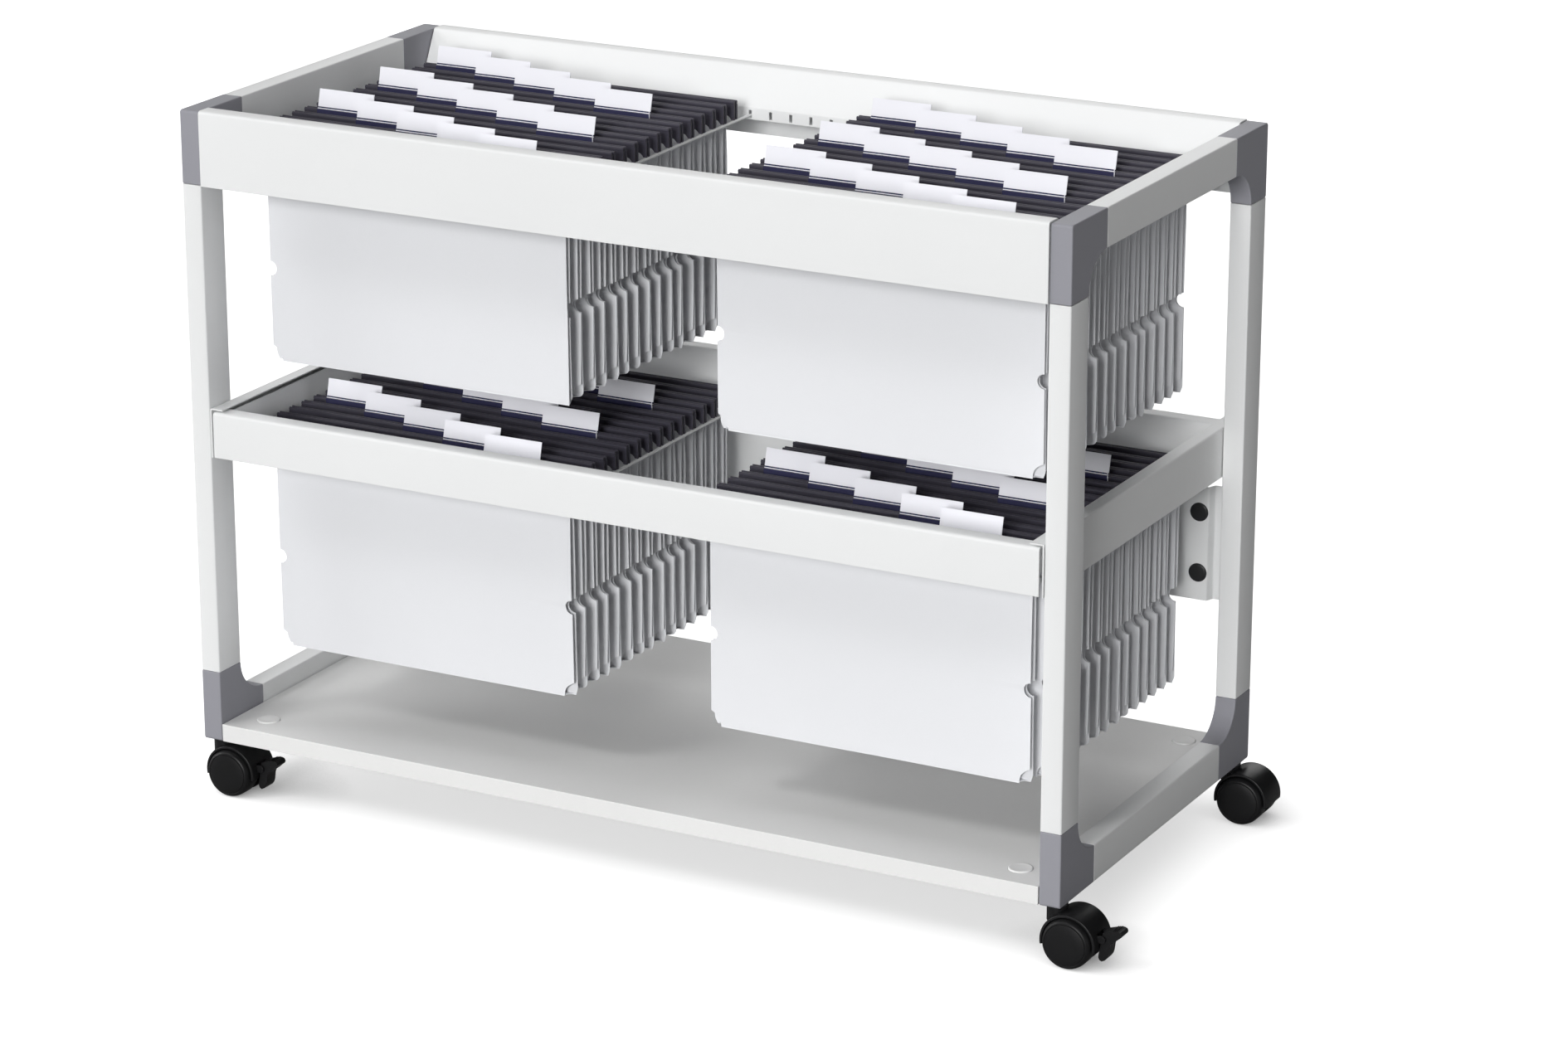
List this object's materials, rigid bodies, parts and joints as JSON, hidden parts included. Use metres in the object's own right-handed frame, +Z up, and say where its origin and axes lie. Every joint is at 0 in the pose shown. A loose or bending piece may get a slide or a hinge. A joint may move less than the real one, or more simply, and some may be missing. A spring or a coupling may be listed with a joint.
{
  "type": "document trolley",
  "caption": "Low two-tier filing trolley: tube frame with plastic corners, bent sheet trays holding hanging files, base shelf board, twin-wheel castors with brakes in front.",
  "frame": {"origin": "middle of the footprint on the floor, at the underside of the castor wheels", "axes": "+X along the length to the right as seen from the front, +Y from front to rear, +Z up"},
  "size_m": [1.029, 0.4696, 0.721],
  "materials": {
    "frame_paint": "satin light grey powder coat",
    "corner_plastic": "fine-grained mid grey moulding",
    "sheet_paint": "satin light grey powder coat on bent sheet",
    "strip_steel": "satin light grey flat bar",
    "board": "particle board faced in light grey",
    "board_cap": "light grey push-in cap",
    "black_cap": "black push-in cap",
    "plate": "plain satin plate",
    "stem_steel": "plain turned pin",
    "castor_plastic": "black nylon, slight sheen",
    "castor_tread": "black nylon wheel, slight sheen",
    "file_board": "pale grey file board with black rails and white label tabs"
  },
  "bodies": {
    "frame": {"post_front_left": "frame_paint", "post_front_right": "frame_paint", "post_rear_left": "frame_paint", "post_rear_right": "frame_paint", "top_rail_left": "frame_paint", "top_rail_right": "frame_paint", "bottom_rail_left": "frame_paint", "bottom_rail_right": "frame_paint", "bottom_corner_front_left": "corner_plastic", "bottom_corner_front_right": "corner_plastic", "bottom_corner_rear_left": "corner_plastic", "bottom_corner_rear_right": "corner_plastic", "top_corner_front_left": "corner_plastic", "top_corner_front_right": "corner_plastic", "top_corner_rear_left": "corner_plastic", "top_corner_rear_right": "corner_plastic", "upper_front_panel": "sheet_paint", "upper_rear_panel": "sheet_paint", "middle_front_panel": "sheet_paint", "middle_rear_panel": "sheet_paint", "middle_side_left": "sheet_paint", "middle_side_right": "sheet_paint", "rear_brace": "sheet_paint", "upper_strip_left_outer": "strip_steel", "upper_strip_left_inner": "strip_steel", "upper_strip_right_outer": "strip_steel", "upper_strip_right_inner": "strip_steel", "lower_strip_left_outer": "strip_steel", "lower_strip_left_inner": "strip_steel", "lower_strip_right_outer": "strip_steel", "lower_strip_right_inner": "strip_steel", "base_board": "board", "board_cap_front_left": "board_cap", "board_cap_front_right": "board_cap", "board_cap_rear_left": "board_cap", "board_cap_rear_right": "board_cap", "brace_cap_left_lower": "black_cap", "brace_cap_left_upper": "black_cap", "brace_cap_right_lower": "black_cap", "brace_cap_right_upper": "black_cap", "badge_plate": "plate", "castor_stem_front_left": "stem_steel", "castor_stem_front_right": "stem_steel", "castor_stem_rear_left": "stem_steel", "castor_stem_rear_right": "stem_steel"},
    "castor_swivel_front_left": {"castor_housing_front_left": "castor_plastic"},
    "castor_wheel_front_left": {"castor_wheels_front_left": "castor_tread"},
    "brake_front_left": {"brake_pedal_front_left": "castor_plastic"},
    "castor_swivel_front_right": {"castor_housing_front_right": "castor_plastic"},
    "castor_wheel_front_right": {"castor_wheels_front_right": "castor_tread"},
    "brake_front_right": {"brake_pedal_front_right": "castor_plastic"},
    "castor_swivel_rear_left": {"castor_housing_rear_left": "castor_plastic"},
    "castor_wheel_rear_left": {"castor_wheels_rear_left": "castor_tread"},
    "castor_swivel_rear_right": {"castor_housing_rear_right": "castor_plastic"},
    "castor_wheel_rear_right": {"castor_wheels_rear_right": "castor_tread"},
    "files_upper_left": {"files_upper_left": "file_board"},
    "files_upper_right": {"files_upper_right": "file_board"},
    "files_lower_left": {"files_lower_left": "file_board"},
    "files_lower_right": {"files_lower_right": "file_board"}
  },
  "joints": [
    {"name": "swivel_front_left", "type": "hinge", "parent": "frame", "child": "castor_swivel_front_left", "pos_m": [-0.5035, -0.20825, 0.055], "axis": [0, 0, 1], "continuous": true},
    {"name": "roll_front_left", "type": "hinge", "parent": "castor_swivel_front_left", "child": "castor_wheel_front_left", "pos_m": [-0.4845, -0.20825, 0.025], "axis": [0, 1, 0], "continuous": true},
    {"name": "brake_front_left", "type": "hinge", "parent": "castor_swivel_front_left", "child": "brake_front_left", "pos_m": [-0.4531, -0.20825, 0.0315], "axis": [0, 1, 0], "range_deg": [0, 9]},
    {"name": "swivel_front_right", "type": "hinge", "parent": "frame", "child": "castor_swivel_front_right", "pos_m": [0.4445, -0.20825, 0.055], "axis": [0, 0, 1], "continuous": true},
    {"name": "roll_front_right", "type": "hinge", "parent": "castor_swivel_front_right", "child": "castor_wheel_front_right", "pos_m": [0.4635, -0.20825, 0.025], "axis": [0, 1, 0], "continuous": true},
    {"name": "brake_front_right", "type": "hinge", "parent": "castor_swivel_front_right", "child": "brake_front_right", "pos_m": [0.4949, -0.20825, 0.0315], "axis": [0, 1, 0], "range_deg": [0, 9]},
    {"name": "swivel_rear_left", "type": "hinge", "parent": "frame", "child": "castor_swivel_rear_left", "pos_m": [-0.5035, 0.20825, 0.055], "axis": [0, 0, 1], "continuous": true},
    {"name": "roll_rear_left", "type": "hinge", "parent": "castor_swivel_rear_left", "child": "castor_wheel_rear_left", "pos_m": [-0.4845, 0.20825, 0.025], "axis": [0, 1, 0], "continuous": true},
    {"name": "swivel_rear_right", "type": "hinge", "parent": "frame", "child": "castor_swivel_rear_right", "pos_m": [0.4445, 0.20825, 0.055], "axis": [0, 0, 1], "continuous": true},
    {"name": "roll_rear_right", "type": "hinge", "parent": "castor_swivel_rear_right", "child": "castor_wheel_rear_right", "pos_m": [0.4635, 0.20825, 0.025], "axis": [0, 1, 0], "continuous": true},
    {"name": "slide_files_upper_left", "type": "slide", "parent": "frame", "child": "files_upper_left", "axis": [0, 1, 0], "range_m": [-0.018, 0.018]},
    {"name": "slide_files_upper_right", "type": "slide", "parent": "frame", "child": "files_upper_right", "axis": [0, 1, 0], "range_m": [-0.018, 0.018]},
    {"name": "slide_files_lower_left", "type": "slide", "parent": "frame", "child": "files_lower_left", "axis": [0, 1, 0], "range_m": [-0.018, 0.018]},
    {"name": "slide_files_lower_right", "type": "slide", "parent": "frame", "child": "files_lower_right", "axis": [0, 1, 0], "range_m": [-0.018, 0.018]}
  ]
}
